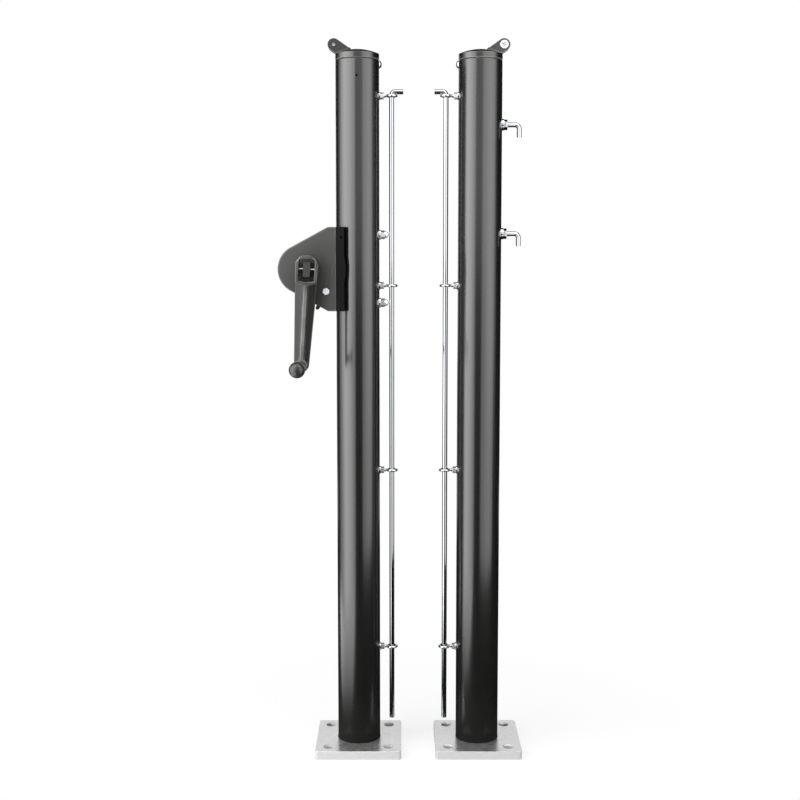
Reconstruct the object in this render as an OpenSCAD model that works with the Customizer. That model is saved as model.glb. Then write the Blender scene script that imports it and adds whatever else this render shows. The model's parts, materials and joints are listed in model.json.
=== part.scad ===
// A pair of net posts on floor plates: a winch post on the left and a hook post on the right.
// The origin is on the ground at the winch post's axis, +Z is up and -Y is the front.
// Every post is drawn with its outer side towards -X, and the hook post is its mirror image.

/* [Posts] */
// Outside diameter of each post's tube
tube_d = 57.15; // [50:0.05:64]
// Wall of the tube
tube_wall = 3.2; // [2:0.1:4.5]
// Height of the tube's top above the ground
tube_top = 916; // [910:1:960]
// Distance between the two posts' axes
post_spacing = 160; // [150:1:400]
// Diameter of the small vent hole in the winch post's front
vent_d = 3; // [2:0.1:5]
// Drop of the vent hole below the tube's top
vent_drop = 22; // [20:1:33]

/* [Floor plates] */
// Side of the square floor plate
plate_side = 114.3; // [110:0.1:140]
// Thickness of the floor plate
plate_t = 11.5; // [9:0.1:16]
// Radius of the plate's upright corners
plate_corner_r = 4; // [1:0.5:8]
// Distance between the anchor holes, both ways
bolt_spacing = 80; // [76:0.5:88]
// Diameter of the anchor holes
bolt_hole_d = 12.7; // [10:0.1:14]
// Depth of the recess in the plate that the tube stands in
socket_depth = 6; // [3:0.5:8]

/* [Caps and pulleys] */
// Height of the cap's straight rim above the tube
cap_rim_h = 8; // [5:0.1:10]
// Height of the cap's dome above its rim
cap_dome_h = 6.2; // [4:0.1:9]
// Length of the cap's skirt inside the tube
skirt_len = 26; // [22:0.5:32]
// Wall of the skirt
skirt_wall = 3.5; // [2.5:0.1:5]
// Drop of the cap's side screw below the tube's top
cap_screw_drop = 5; // [5:0.5:14]
// Distance of the pulley's axle from the post's axis
pulley_out = 30; // [28:0.2:36]
// Height of the pulley's axle above the tube's top
pulley_up = 19.6; // [19.6:0.2:26]
// Outside diameter of the pulley
sheave_d = 15; // [13:0.5:15.5]
// Width of the pulley
sheave_w = 9.4; // [8:0.2:12]
// Width of the rope groove
groove_w = 6.4; // [4:0.2:7]
// Radius of the pulley ear's round end
ear_r = 8; // [7.8:0.1:10]
// Thickness of each pulley ear
ear_t = 3; // [2:0.2:4]
// Diameter of the pulley's axle
axle_d = 6; // [5:0.5:7]
// Diameter of the hole through the winch post's hollow axle
axle_bore_d = 3.8; // [2:0.1:4]
// Diameter of the hook post's axle head
axle_head_d = 10.8; // [9:0.1:12]

/* [Lacing rods and eyes] */
// Diameter of the lacing rod
rod_d = 6.7; // [5:0.1:7]
// Distance of the rod's axis from the post's wall
rod_stand_off = 16; // [15.9:0.1:23]
// Height of the rod's lower end
rod_foot_z = 37.5; // [20:0.5:90]
// Length of the rod's bent end, from the rod's axis
rod_hook_len = 15.2; // [12:0.2:30]
// Radius of the rod's bend, on its centre line
rod_bend_r = 5; // [4.5:0.1:5.5]
// Drop of the top eye's ring below the tube's top
eye_drop = 45; // [38:1:57]
// Spacing of the three upper eyes
eye_pitch = 246; // [200:1:260]
// Height of the lowest eye
eye_low_z = 137; // [100:1:150]
// Diameter of the eye's wire
eye_wire_d = 3.5; // [3:0.1:4]
// Outside diameter of the eye's ring
eye_ring_d = 16; // [15.4:0.1:18]

/* [Hooks] */
// Diameter of the hook's rod
hook_d = 6.4; // [5:0.1:7]
// Drop of the upper hook below the tube's top
hook_down = 82; // [58:1:118]
// Distance between the two hooks
hook_pitch = 141; // [100:1:180]
// Distance of the hook's downward leg from the post's wall
hook_stand_off = 22.4; // [21.5:0.1:36]
// Radius of the hook's bend, on its centre line
hook_bend_r = 5.4; // [5:0.1:8]
// Drop of the hook's tip below its shank's axis
hook_drop = 16.2; // [14:0.2:30]

/* [Winch housing] */
// Height of the winch's centre above the ground
winch_z = 647; // [500:1:700]
// Height of the housing where it meets the post
housing_h = 109; // [108:0.5:130]
// Width of the housing from front to back
housing_w = 62; // [62:0.5:70]
// Wall of the housing
housing_wall = 3; // [2:0.1:4]
// Radius of the housing's outer end
housing_end_r = 32; // [31.5:0.1:36]
// Distance of the outer end's centre from the post's axis
housing_out = 71; // [69:0.5:75]
// Length of the housing's level edge between the saddle and the sloping edge
housing_flat = 10.5; // [7:0.5:16]
// Distance from the post's axis at which the housing meets the saddle
saddle_step = 27.2; // [26:0.2:28.4]
// Distance from the post's axis of the saddle's inner edge
saddle_edge = 16.8; // [10:0.2:17.4]
// Width of the saddle from front to back
saddle_w = 63; // [62.6:0.2:72]
// Distance of each mounting bolt from the housing's upper or lower edge
mount_bolt_in = 9.9; // [9.5:0.1:12.5]
// Diameter of the mounting bolts
mount_bolt_d = 6; // [5:0.5:6.5]

/* [Winch works] */
// Distance of the crank's axis from the post's axis
crank_out = 63.7; // [63:0.1:66]
// Diameter of the drive shaft
shaft_d = 20; // [18:0.5:20.5]
// Thickness of the shaft's flat tang
tang_t = 9.2; // [7:0.1:11]
// Outside diameter of the bushings
bush_d = 26; // [25:0.5:28]
// Diameter of the drum's flanges
drum_flange_d = 50; // [46:0.5:51]
// Diameter of the drum's core
drum_core_d = 30; // [28:0.5:36]
// Length of the drum's core between its flanges
drum_len = 30; // [24:0.5:30]
// Number of ratchet teeth, a multiple of four
ratchet_teeth = 12; // [12:4:20]
// Outside diameter of the ratchet wheel
ratchet_d = 48; // [46:0.5:49]
// Depth of the ratchet teeth
tooth_depth = 3.5; // [2.5:0.1:4]
// Thickness of the ratchet wheel and the pawl
ratchet_t = 6; // [5:0.2:7]
// Distance of the pawl's pivot from the post's axis
pawl_out = 40.2; // [40:0.1:41.5]
// Drop of the pawl's pivot below the winch's centre
pawl_drop = 28.7; // [28:0.1:30.5]
// Length of the pawl's release tail
pawl_tail = 27; // [25:0.2:30]
// Diameter of the pawl's pivot bolt
pawl_bolt_d = 5; // [4:0.2:5.4]

/* [Crank handle] */
// Turn of the crank at rest, in degrees
crank_rest = 3.6; // [0:0.1:6]
// Distance of the handle's cross pin in front of the post's axis
pin_front = 47; // [46.6:0.2:52]
// Diameter of the cross pin
pin_d = 4; // [3:0.2:5]
// Length of the arm from the cross pin to the grip
arm_len = 122.5; // [90:0.5:150]
// Radius of the handle's head
head_r = 15; // [14.8:0.1:17]
// Depth of the head from front to back
head_t = 21; // [19:0.2:21]
// Width of the pocket in the head
pocket_w = 20.6; // [16:0.2:22]
// Radius of the arm's lower end
arm_end_r = 9.6; // [9:0.1:12]
// Thickness of the arm
arm_t = 11; // [8:0.5:12]
// Height of the rib on the arm's front
rib_h = 2.4; // [1:0.1:3]
// Width of the rib
rib_w = 5; // [3:0.2:7]
// Diameter of the grip's ball
ball_d = 20.4; // [18:0.2:24]
// Reach of the ball's centre in front of the post's axis
ball_front = 124; // [95:1:130]

/* [Hidden] */

$fn = 64;
small_fn = 40;
// clearances: between seats, round a turning shaft, and round a screw in its hole
seat_gap = 0.2;
run_gap = 0.05;
screw_gap = 0.2;
rest_gap = 0.3;
// a cut runs this far past the face that it opens
past = 1;
// a straight edge that meets a round end is led this far into it
edge_lap = 0.04;

black = "#3a3a38";
dark = "#1e1e1c";
chrome = "#d8d8d8";
zinc = "#c8c8c8";
steel = "#6a6a68";

tube_r = tube_d / 2;
tube_bore_r = tube_r - tube_wall;
tube_foot_z = plate_t - socket_depth;
vent_z = tube_top - vent_drop;
cap_screw_z = tube_top - cap_screw_drop;
eye_top_z = tube_top - eye_drop;
hook_top_z = tube_top - hook_down;
rod_out = tube_r + rod_stand_off;
hook_out = tube_r + hook_stand_off;
eye_heights = [eye_top_z, eye_top_z - eye_pitch, eye_top_z - 2 * eye_pitch, eye_low_z];
hook_heights = [hook_top_z, hook_top_z - hook_pitch];

// cap and pulley
cap_r = tube_r + 0.1;
cap_z = tube_top + seat_gap;
cap_rim_z = cap_z + cap_rim_h;
cap_edge_r = 1.2;
// shadow line round the foot of the cap's rim
cap_seam_h = 1.1;
cap_seam_in = 0.8;
skirt_r = tube_bore_r - seat_gap;
cap_screw_d = 5;
cap_screw_head_d = 10.6;
cap_screw_head_h = 3.4;
cap_screw_len = 14;
cap_screw_socket = 3.2;
cap_screw_socket_depth = 1.8;
pulley_z = tube_top + pulley_up;
ear_gap = sheave_w + 2 * rest_gap;
ear_foot_in = 7.6;
ear_foot_out = tube_r - 1.8;
ear_foot_z = cap_rim_z - 0.4;
ear_fillet = 2.4;
// the ear rises from this far under the dome's top, and its spread foot stands this high over it
ear_foot_sink = 0.6;
ear_foot_rise = 1.4;
groove_r = groove_w / 2;
groove_bottom_r = sheave_d / 2 - 2.1;
axle_rim = 1.4;
axle_rim_t = 0.8;
axle_head_t = 2;
// width and length of the cross slots in the axle's head
axle_slot_w = 1.2;
axle_slot_len = 6;
axle_slot_turn = 20;
axle_len = ear_gap + 2 * ear_t;
axle_nut_flats = 10;
axle_nut_t = 4;

// eyes
eye_ring_r = (eye_ring_d - eye_wire_d) / 2;
eye_shank_d = 4.8;
eye_shank_in = tube_bore_r - 8;
insert_flange_d = 10.4;
insert_flange_t = 1.2;
insert_barrel_d = 7;
insert_flange_out = tube_r + insert_flange_t;
insert_barrel_in = tube_bore_r - 6;
eye_nut_flats = 8;
eye_nut_t = 4.4;

// hooks and their fasteners
hook_shank_in = tube_bore_r - 9;
hook_washer_d = 15;
hook_washer_out = tube_r + 2.4;
hook_nut_flats = 12;
hook_nut_t = 4.4;
inner_nut_flats = 10;
inner_nut_t = 5;

// winch housing
half_h = housing_h / 2;
mount_bolt_dz = half_h - mount_bolt_in;
mount_bolt_heights = [winch_z + mount_bolt_dz, winch_z - mount_bolt_dz];
// from the end's centre to the corner where the upper edge turns level, and the slope that this gives
housing_rise = [housing_out - saddle_step - housing_flat, half_h];
housing_slope = atan2(housing_rise[1], housing_rise[0]) + acos(housing_end_r / norm(housing_rise)) - 90;
half_w = housing_w / 2;
cavity_half_w = half_w - housing_wall;
spigot_depth = 5;
spigot_out = saddle_step + spigot_depth;
bulge_h = 16;
bulge_out = 2;
bulge_r = (bulge_h * bulge_h + bulge_out * bulge_out) / (2 * bulge_out);
cable_slot_w = 18;
cable_slot_near = 40;
cable_slot_far = 59;
mount_head_flats = 10;
mount_head_t = 4;
mount_washer_d = 13;
mount_washer_out = tube_r + 1.6;
acorn_flats = 10;
acorn_hex_t = 5.2;
acorn_collar = 0.8;
acorn_dome_in = 0.5;
saddle_screw_d = 4;
saddle_screw_out = 20.3;
saddle_screw_down = 13.5;
saddle_screw_dz = half_h - saddle_screw_down;
saddle_screw_into_tube = 2.6;
saddle_screw_socket = 2;
saddle_screw_socket_depth = 1.5;
saddle_screw_dish = 1.2;

// winch works
crank_z = winch_z;
bush_flange_d = 30;
bush_flange_t = 2;
bush_reach = 1.4;
bush_in = cavity_half_w - bush_reach;
tang_base = half_w + bush_flange_t + 2 * rest_gap;
tang_past_pin = 8.8;
tang_front = pin_front + tang_past_pin;
tang_h = shaft_d - 0.4;
wheel_front = bush_in - rest_gap;
wheel_back = wheel_front - ratchet_t;
rivet_d = 4;
rivet_out = 15.5;
drum_flange_t = 2.6;
drum_front = wheel_back;
drum_back = drum_len + drum_flange_t - drum_front;
drum_hub_d = 28;
drum_pin_d = 4;
drum_pin_y = (drum_back + drum_flange_t + bush_in) / 2;
anchor_hole_d = 5;
shaft_back = half_w + bush_flange_t + 5;
clip_groove_d = shaft_d - 2.4;
clip_d = shaft_d + 4;
clip_t = 1.6;
washer_t = 1.2;
washer_d = 27;
clip_y = half_w + bush_flange_t + washer_t + 2 * rest_gap;

// pawl: its arm lies along a tangent of the wheel and pushes back along itself to its pivot
wheel_r = ratchet_d / 2;
root_r = wheel_r - tooth_depth;
line_r = root_r + 1.5;
pivot = [crank_out - pawl_out, -pawl_drop];
pivot_dist = norm(pivot);
arm_reach = sqrt(pivot_dist * pivot_dist - line_r * line_r);
tooth_angle = atan2(pivot[1], pivot[0]) - atan2(arm_reach, line_r);
pawl_boss_r = 6.5;
nose_len = 9.2;
nose_t = 5.4;
pawl_tail_angle = 241.5;
pawl_tail_r = 2.4;
pawl_slot_near = 40.5;
pawl_slot_far = 76;
bolt_head_flats = 8;
bolt_head_t = 3.4;
bolt_head_turn = 15;
// the head's corners are turned off, and its top has a shallow dish
bolt_head_top_d = 8.2;
bolt_head_dish_d = 4.4;
bolt_head_dish = 0.5;
bolt_end = 2;
spring_wire_d = 1.2;
spring_r = 4.6;
spring_pitch = 1.35;
spring_end_angle = -14;
spring_sides = 6;
spring_rings = 12;
pawl_leg = 12;
spacer_d = 7.2;

// handle
head_up = 3.9;
pocket_top = 13.8;
pocket_bottom = 14.6;
pocket_v = 1.4;
head_front = pin_front + head_t / 2;
arm_front = pin_front + 8;
arm_back = arm_front - arm_t;
// the arm's front falls away this far from its rib to its edges
arm_fall = 2.6;
swing_r = pin_front - half_w - bush_flange_t - 2 * rest_gap;
boss_r = 7.4;
spindle_d = 6;
spindle_tip = ball_front - 4;
grip_start = arm_front + rib_h + rest_gap;
grip_stem_d = 10.4;
grip_neck_d = 9;
// the spindle is riveted over behind the arm, and its collar holds the grip
spindle_rivet_d = spindle_d + 4;
spindle_rivet_t = 1.4;
collar_d = spindle_d + 2;
collar_t = 2;

// tangent point on a circle of radius r about c, seen from p, on side s
function tangent_point(p, c, r, s) =
    let (d = c - p, far = norm(d), turn = s * asin(r / far), a = atan2(d[1], d[0]) + turn)
    p + sqrt(far * far - r * r) * [cos(a), sin(a)];

module hex(flats, h) {
    cylinder(d = flats / cos(30), h = h, $fn = 6);
}

// lays a solid drawn along +Z on the X axis, with its base at x
module along_x(x, z) {
    translate([x, 0, z]) rotate([0, 90, 0]) children();
}

// lays a solid drawn along +Z on the Y axis, with its base at y and its top towards the front
module to_front(x, y, z) {
    translate([x, y, z]) rotate([90, 0, 0]) children();
}

// a plate of thickness t drawn in the XZ plane, with its front face at y = front
module slab(front, t) {
    translate([0, front + t, 0]) rotate([90, 0, 0]) linear_extrude(t) children();
}

module at_hook_post() {
    translate([post_spacing, 0, 0]) mirror([1, 0, 0]) children();
}

module at_crank() {
    translate([-crank_out, 0, crank_z]) rotate([0, crank_rest, 0]) children();
}

// Floor plate and tube

module plate() {
    corner = plate_side / 2 - plate_corner_r;
    chamfer = 0.8;
    color(zinc) difference() {
        union() {
            translate([-plate_side / 2, -corner, 0]) cube([plate_side, 2 * corner, plate_t]);
            translate([-corner, -plate_side / 2, 0]) cube([2 * corner, plate_side, plate_t]);
            for (x = [-corner, corner], y = [-corner, corner])
                translate([x, y, 0]) cylinder(r = plate_corner_r, h = plate_t);
        }
        for (x = [-0.5, 0.5], y = [-0.5, 0.5])
            translate([x * bolt_spacing, y * bolt_spacing, 0]) {
                translate([0, 0, -past]) cylinder(d = bolt_hole_d, h = plate_t + 2 * past);
                translate([0, 0, plate_t - chamfer])
                    cylinder(d1 = bolt_hole_d, d2 = bolt_hole_d + 2 * (chamfer + past), h = chamfer + past);
            }
        translate([0, 0, tube_foot_z]) cylinder(r = tube_r + seat_gap / 2, h = socket_depth + past);
    }
}

module tube_body() {
    difference() {
        translate([0, 0, tube_foot_z]) cylinder(r = tube_r, h = tube_top - tube_foot_z);
        translate([0, 0, tube_foot_z - past]) cylinder(r = tube_bore_r, h = tube_top + 2 * past);
        along_x(0, cap_screw_z) cylinder(d = cap_screw_d + screw_gap, h = tube_d, $fn = small_fn);
        for (z = eye_heights)
            along_x(0, z) cylinder(d = insert_barrel_d + screw_gap, h = tube_d, $fn = small_fn);
    }
}

module winch_post_tube() {
    color(black) difference() {
        tube_body();
        for (z = mount_bolt_heights)
            along_x(-tube_d, z) cylinder(d = mount_bolt_d + screw_gap, h = 2 * tube_d, $fn = small_fn);
        to_front(0, 0, vent_z) cylinder(d = vent_d, h = tube_d, $fn = small_fn);
    }
}

module hook_post_tube() {
    color(black) at_hook_post() difference() {
        tube_body();
        for (z = hook_heights)
            along_x(-tube_d, z) cylinder(d = hook_d + screw_gap, h = tube_d, $fn = small_fn);
    }
}

// Cap with its two pulley ears

module cap_outline() {
    dome_r = (cap_r * cap_r + cap_dome_h * cap_dome_h) / (2 * cap_dome_h);
    intersection() {
        translate([0, cap_rim_h + cap_dome_h - dome_r]) circle(r = dome_r, $fn = 360);
        union() {
            square([cap_r - cap_edge_r, cap_rim_h + cap_dome_h]);
            square([cap_r - cap_seam_in, cap_rim_h - cap_edge_r]);
            translate([0, cap_seam_h]) square([cap_r, cap_rim_h - cap_seam_h - cap_edge_r / 2]);
            translate([cap_r - cap_edge_r, cap_rim_h - cap_edge_r / 2]) circle(r = cap_edge_r);
        }
    }
}

module ear_outline() {
    axle = [-pulley_out, pulley_z];
    foot_in = [-ear_foot_in, cap_rim_z + cap_dome_h - ear_foot_sink];
    foot_out = [-ear_foot_out, ear_foot_z];
    translate(axle) circle(r = ear_r);
    polygon([
        foot_in, tangent_point(foot_in, axle, ear_r, -1), axle,
        tangent_point(foot_out, axle, ear_r, 1), foot_out, [-ear_foot_in, ear_foot_z]
    ]);
}

// the ear's foot spreads on the dome, below a line that climbs inwards
module ear_foot_outline() {
    polygon([
        [-ear_foot_out, ear_foot_z], [-ear_foot_out, ear_foot_z + ear_foot_rise],
        [-ear_foot_in - 2, cap_rim_z + cap_dome_h + ear_foot_rise],
        [-ear_foot_in, cap_rim_z + cap_dome_h - ear_foot_sink],
        [-ear_foot_in, ear_foot_z]
    ]);
}

module cap() {
    color(black) difference() {
        union() {
            translate([0, 0, cap_z]) rotate_extrude() cap_outline();
            translate([0, 0, cap_z - skirt_len]) cylinder(r = skirt_r, h = skirt_len + 1);
            for (side = [0, 1]) mirror([0, side, 0]) {
                slab(-ear_gap / 2 - ear_t, ear_t) ear_outline();
                intersection() {
                    slab(-ear_gap / 2 - ear_t - ear_fillet, ear_t + ear_fillet) ear_foot_outline();
                    translate([0, 0, cap_z]) cylinder(r = cap_r, h = tube_d);
                }
            }
        }
        translate([0, 0, cap_z - skirt_len - past]) cylinder(r = skirt_r - skirt_wall, h = skirt_len + past);
        to_front(-pulley_out, axle_len, pulley_z)
            cylinder(d = axle_d + 2 * run_gap, h = 2 * axle_len, $fn = small_fn);
        to_front(-pulley_out, ear_gap / 2, pulley_z) cylinder(r = ear_r + 1, h = ear_gap);
        along_x(0, cap_screw_z) cylinder(d = cap_screw_d + screw_gap, h = tube_d, $fn = small_fn);
    }
}

module cap_screw() {
    tip = tube_r + rest_gap / 3 - cap_screw_len;
    head_r = cap_screw_head_d / 2;
    ball_r = (head_r * head_r + cap_screw_head_h * cap_screw_head_h) / (2 * cap_screw_head_h);
    color(chrome) difference() {
        union() {
            along_x(tip, cap_screw_z) cylinder(d = cap_screw_d, h = cap_screw_len + 1, $fn = small_fn);
            along_x(tip + cap_screw_len, cap_screw_z) intersection() {
                cylinder(r = head_r, h = cap_screw_head_h);
                translate([0, 0, cap_screw_head_h - ball_r]) sphere(r = ball_r);
            }
        }
        along_x(tip + cap_screw_len + cap_screw_head_h - cap_screw_socket_depth, cap_screw_z)
            hex(cap_screw_socket, cap_screw_head_h);
    }
}

module sheave() {
    color(steel) to_front(-pulley_out, sheave_w / 2, pulley_z) rotate_extrude() difference() {
        translate([axle_d / 2 + run_gap, 0]) square([sheave_d / 2 - axle_d / 2 - run_gap, sheave_w]);
        translate([groove_bottom_r + groove_r, sheave_w / 2]) circle(r = groove_r, $fn = small_fn);
    }
}

module hollow_axle() {
    color(chrome) difference() {
        union() {
            to_front(-pulley_out, axle_len / 2, pulley_z) cylinder(d = axle_d, h = axle_len, $fn = small_fn);
            for (y = [axle_len / 2 + axle_rim_t, -axle_len / 2])
                to_front(-pulley_out, y, pulley_z)
                    cylinder(d = axle_d + axle_rim, h = axle_rim_t, $fn = small_fn);
        }
        to_front(-pulley_out, axle_len, pulley_z) cylinder(d = axle_bore_d, h = 2 * axle_len, $fn = small_fn);
    }
}

module headed_axle() {
    color(chrome) difference() {
        union() {
            to_front(-pulley_out, axle_len / 2 + axle_nut_t + 1, pulley_z)
                cylinder(d = axle_d, h = axle_len + axle_nut_t + 1, $fn = small_fn);
            to_front(-pulley_out, -axle_len / 2, pulley_z)
                cylinder(d = axle_head_d, h = axle_head_t, $fn = small_fn);
        }
        for (turn = [0, 90])
            to_front(-pulley_out, -axle_len / 2 - axle_head_t / 2, pulley_z)
                rotate([0, 0, turn + axle_slot_turn]) translate([-axle_slot_w / 2, -axle_slot_len / 2, 0])
                    cube([axle_slot_w, axle_slot_len, axle_head_t]);
    }
}

module axle_nut() {
    color(chrome) to_front(-pulley_out, axle_len / 2 + axle_nut_t, pulley_z) difference() {
        hex(axle_nut_flats, axle_nut_t);
        translate([0, 0, -past])
            cylinder(d = axle_d + 2 * run_gap, h = axle_nut_t + 2 * past, $fn = small_fn);
    }
}

// Eye screws and the lacing rod that drops through them

module eyes() {
    neck = rod_out - eye_ring_d / 2 - 0.5;
    color(chrome) for (z = eye_heights) {
        translate([rod_out, 0, z]) rotate_extrude()
            translate([eye_ring_r, 0]) circle(d = eye_wire_d, $fn = small_fn);
        along_x(eye_shank_in, z) cylinder(d = eye_shank_d, h = neck - eye_shank_in, $fn = small_fn);
        along_x(neck - 1, z) cylinder(d = eye_wire_d, h = rod_out - eye_ring_r - neck + 1, $fn = small_fn);
    }
}

module eye_nuts() {
    color(chrome) for (z = eye_heights)
        along_x(insert_flange_out, z) difference() {
            hex(eye_nut_flats, eye_nut_t);
            translate([0, 0, -past])
                cylinder(d = eye_shank_d + 2 * run_gap, h = eye_nut_t + 2 * past, $fn = small_fn);
        }
}

// a threaded insert: its flange is hollowed to the tube's curve
module eye_inserts() {
    color(chrome) for (z = eye_heights) difference() {
        union() {
            along_x(insert_barrel_in, z)
                cylinder(d = insert_barrel_d, h = insert_flange_out - insert_barrel_in, $fn = small_fn);
            along_x(tube_r - 1, z) difference() {
                cylinder(d = insert_flange_d, h = insert_flange_t + 1, $fn = small_fn);
                translate([0, 0, 1 - tube_r]) rotate([90, 0, 0])
                    rotate([0, 90, 0])
                        cylinder(r = tube_r, h = insert_flange_d + 2, center = true, $fn = 128);
            }
        }
        along_x(insert_barrel_in - past, z)
            cylinder(d = eye_shank_d + 2 * run_gap, h = tube_r, $fn = small_fn);
    }
}

module lacing_rod() {
    top_z = eye_top_z + (eye_wire_d + rod_d) / 2 + rest_gap;
    bend_z = top_z - rod_bend_r;
    color(chrome) {
        translate([rod_out, 0, rod_foot_z]) cylinder(d = rod_d, h = bend_z - rod_foot_z, $fn = small_fn);
        translate([rod_out + rod_bend_r, 0, bend_z]) rotate([90, 0, 0]) rotate([0, 0, 90])
            rotate_extrude(angle = 90) translate([rod_bend_r, 0]) circle(d = rod_d, $fn = small_fn);
        along_x(rod_out + rod_bend_r, top_z)
            cylinder(d = rod_d, h = rod_hook_len - rod_bend_r, $fn = small_fn);
    }
}

// Net hooks on the hook post's outer side

module net_hooks() {
    bend_x = hook_out - hook_bend_r;
    color(chrome) at_hook_post() for (z = hook_heights) {
        along_x(-bend_x, z) cylinder(d = hook_d, h = bend_x - hook_shank_in, $fn = small_fn);
        translate([-bend_x, 0, z - hook_bend_r]) rotate([90, 0, 0]) rotate([0, 0, 90])
            rotate_extrude(angle = 90) translate([hook_bend_r, 0]) circle(d = hook_d, $fn = small_fn);
        translate([-hook_out, 0, z - hook_drop])
            cylinder(d = hook_d, h = hook_drop - hook_bend_r, $fn = small_fn);
    }
}

// a washer hollowed to the tube's curve, on the outer side of the post
module saddle_washer(d, out, bore, z) {
    difference() {
        along_x(-out, z) cylinder(d = d, h = out - tube_r + 3, $fn = small_fn);
        translate([0, 0, z]) cylinder(r = tube_r, h = 2 * d, center = true, $fn = 128);
        along_x(-out - past, z) cylinder(d = bore, h = tube_r, $fn = small_fn);
    }
}

module net_hook_washers() {
    color(chrome) at_hook_post() for (z = hook_heights)
        saddle_washer(hook_washer_d, hook_washer_out, hook_d + screw_gap, z);
}

module net_hook_nuts() {
    color(chrome) at_hook_post() for (z = hook_heights)
        along_x(-hook_washer_out - hook_nut_t, z) difference() {
            hex(hook_nut_flats, hook_nut_t);
            translate([0, 0, -past])
                cylinder(d = hook_d + 2 * run_gap, h = hook_nut_t + 2 * past, $fn = small_fn);
        }
}

module net_hook_inner_nuts() {
    corner = inner_nut_flats / cos(30) / 2;
    seat = sqrt(tube_bore_r * tube_bore_r - corner * corner) - run_gap;
    color(steel) at_hook_post() for (z = hook_heights)
        along_x(-seat, z) difference() {
            hex(inner_nut_flats, inner_nut_t);
            translate([0, 0, -past])
                cylinder(d = hook_d + 2 * run_gap, h = inner_nut_t + 2 * past, $fn = small_fn);
        }
}

// Winch housing: a round outer end joined to the post by two sloping edges

module housing_outline(inset) {
    r = housing_end_r - inset;
    top = half_h - inset;
    corner_x = -housing_out + (cos(housing_slope) * top - r) / sin(housing_slope);
    // the straight edge ends a little inside the circle, so that it crosses it
    touch = [-housing_out, 0] + (r - edge_lap) * [-sin(housing_slope), cos(housing_slope)];
    translate([-housing_out, 0]) circle(r = r, $fn = 128);
    polygon([
        [-saddle_step, top], [corner_x, top], touch, [touch[0], -touch[1]],
        [corner_x, -top], [-saddle_step, -top]
    ]);
}

module housing_half() {
    difference() {
        to_front(0, -seat_gap / 2, winch_z) linear_extrude(half_w - seat_gap / 2) housing_outline(0);
        to_front(0, past, winch_z) linear_extrude(cavity_half_w + past) union() {
            housing_outline(housing_wall);
            translate([-saddle_step - past, -half_h + housing_wall])
                square([2 * past, housing_h - 2 * housing_wall]);
        }
        to_front(-crank_out, 0, crank_z) cylinder(d = bush_d + run_gap, h = housing_w);
        to_front(-pawl_out, 0, winch_z - pawl_drop)
            cylinder(d = pawl_bolt_d + screw_gap, h = housing_w, $fn = small_fn);
        translate([-cable_slot_far, -cable_slot_w / 2, winch_z])
            cube([cable_slot_far - cable_slot_near, cable_slot_w, housing_h]);
        translate([0, 0, winch_z - housing_h])
            cylinder(r = tube_r + seat_gap / 2, h = 2 * housing_h, $fn = 128);
    }
}

module winch_housing_front() {
    color(black) difference() {
        housing_half();
        translate([-pawl_slot_far, -wheel_front - 1, winch_z - housing_h])
            cube([pawl_slot_far - pawl_slot_near, ratchet_t + 2, housing_h - wheel_r - 6]);
    }
}

module winch_housing_rear() {
    color(black) mirror([0, 1, 0]) housing_half();
}

// the saddle hugs the tube, and its spigot fills the housing's open side
module winch_saddle() {
    spigot_w = 2 * (cavity_half_w - seat_gap);
    spigot_h = housing_h - 2 * (housing_wall + seat_gap);
    color(dark) difference() {
        union() {
            translate([-saddle_step, -saddle_w / 2, winch_z - half_h])
                cube([saddle_step - saddle_edge, saddle_w, housing_h]);
            translate([-spigot_out, -spigot_w / 2, winch_z - spigot_h / 2])
                cube([spigot_depth + 1, spigot_w, spigot_h]);
            intersection() {
                to_front(-saddle_edge + bulge_out - bulge_r, saddle_w / 2, winch_z)
                    cylinder(r = bulge_r, h = saddle_w, $fn = 256);
                translate([-saddle_edge - 1, -saddle_w / 2, winch_z - bulge_h])
                    cube([1 + bulge_out, saddle_w, 2 * bulge_h]);
            }
        }
        translate([0, 0, winch_z - half_h - past])
            cylinder(r = tube_r + seat_gap / 2, h = housing_h + 2 * past, $fn = 128);
        for (z = mount_bolt_heights)
            along_x(-tube_d, z) cylinder(d = mount_bolt_d + screw_gap, h = tube_d, $fn = small_fn);
        to_front(-saddle_screw_out, 0, winch_z + saddle_screw_dz)
            cylinder(d = saddle_screw_d + 2 * run_gap, h = saddle_w, $fn = small_fn);
    }
}

module saddle_screw() {
    inner = sqrt(tube_r * tube_r - saddle_screw_out * saddle_screw_out) + saddle_screw_into_tube;
    color(dark) difference() {
        to_front(-saddle_screw_out, -inner, winch_z + saddle_screw_dz)
            cylinder(d = saddle_screw_d, h = saddle_w / 2 - inner - saddle_screw_dish, $fn = small_fn);
        to_front(-saddle_screw_out, -saddle_w / 2 + saddle_screw_dish + saddle_screw_socket_depth,
                 winch_z + saddle_screw_dz)
            hex(saddle_screw_socket, 2 * saddle_screw_socket);
    }
}

module winch_mount_bolts() {
    reach = mount_washer_out + acorn_hex_t;
    color(steel) for (z = mount_bolt_heights) {
        along_x(-spigot_out - mount_head_t, z) hex(mount_head_flats, mount_head_t);
        along_x(-spigot_out - 1, z) cylinder(d = mount_bolt_d, h = spigot_out + 1 + reach, $fn = small_fn);
    }
}

module winch_mount_washers() {
    color(chrome) mirror([1, 0, 0]) for (z = mount_bolt_heights)
        saddle_washer(mount_washer_d, mount_washer_out, mount_bolt_d + screw_gap, z);
}

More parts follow.
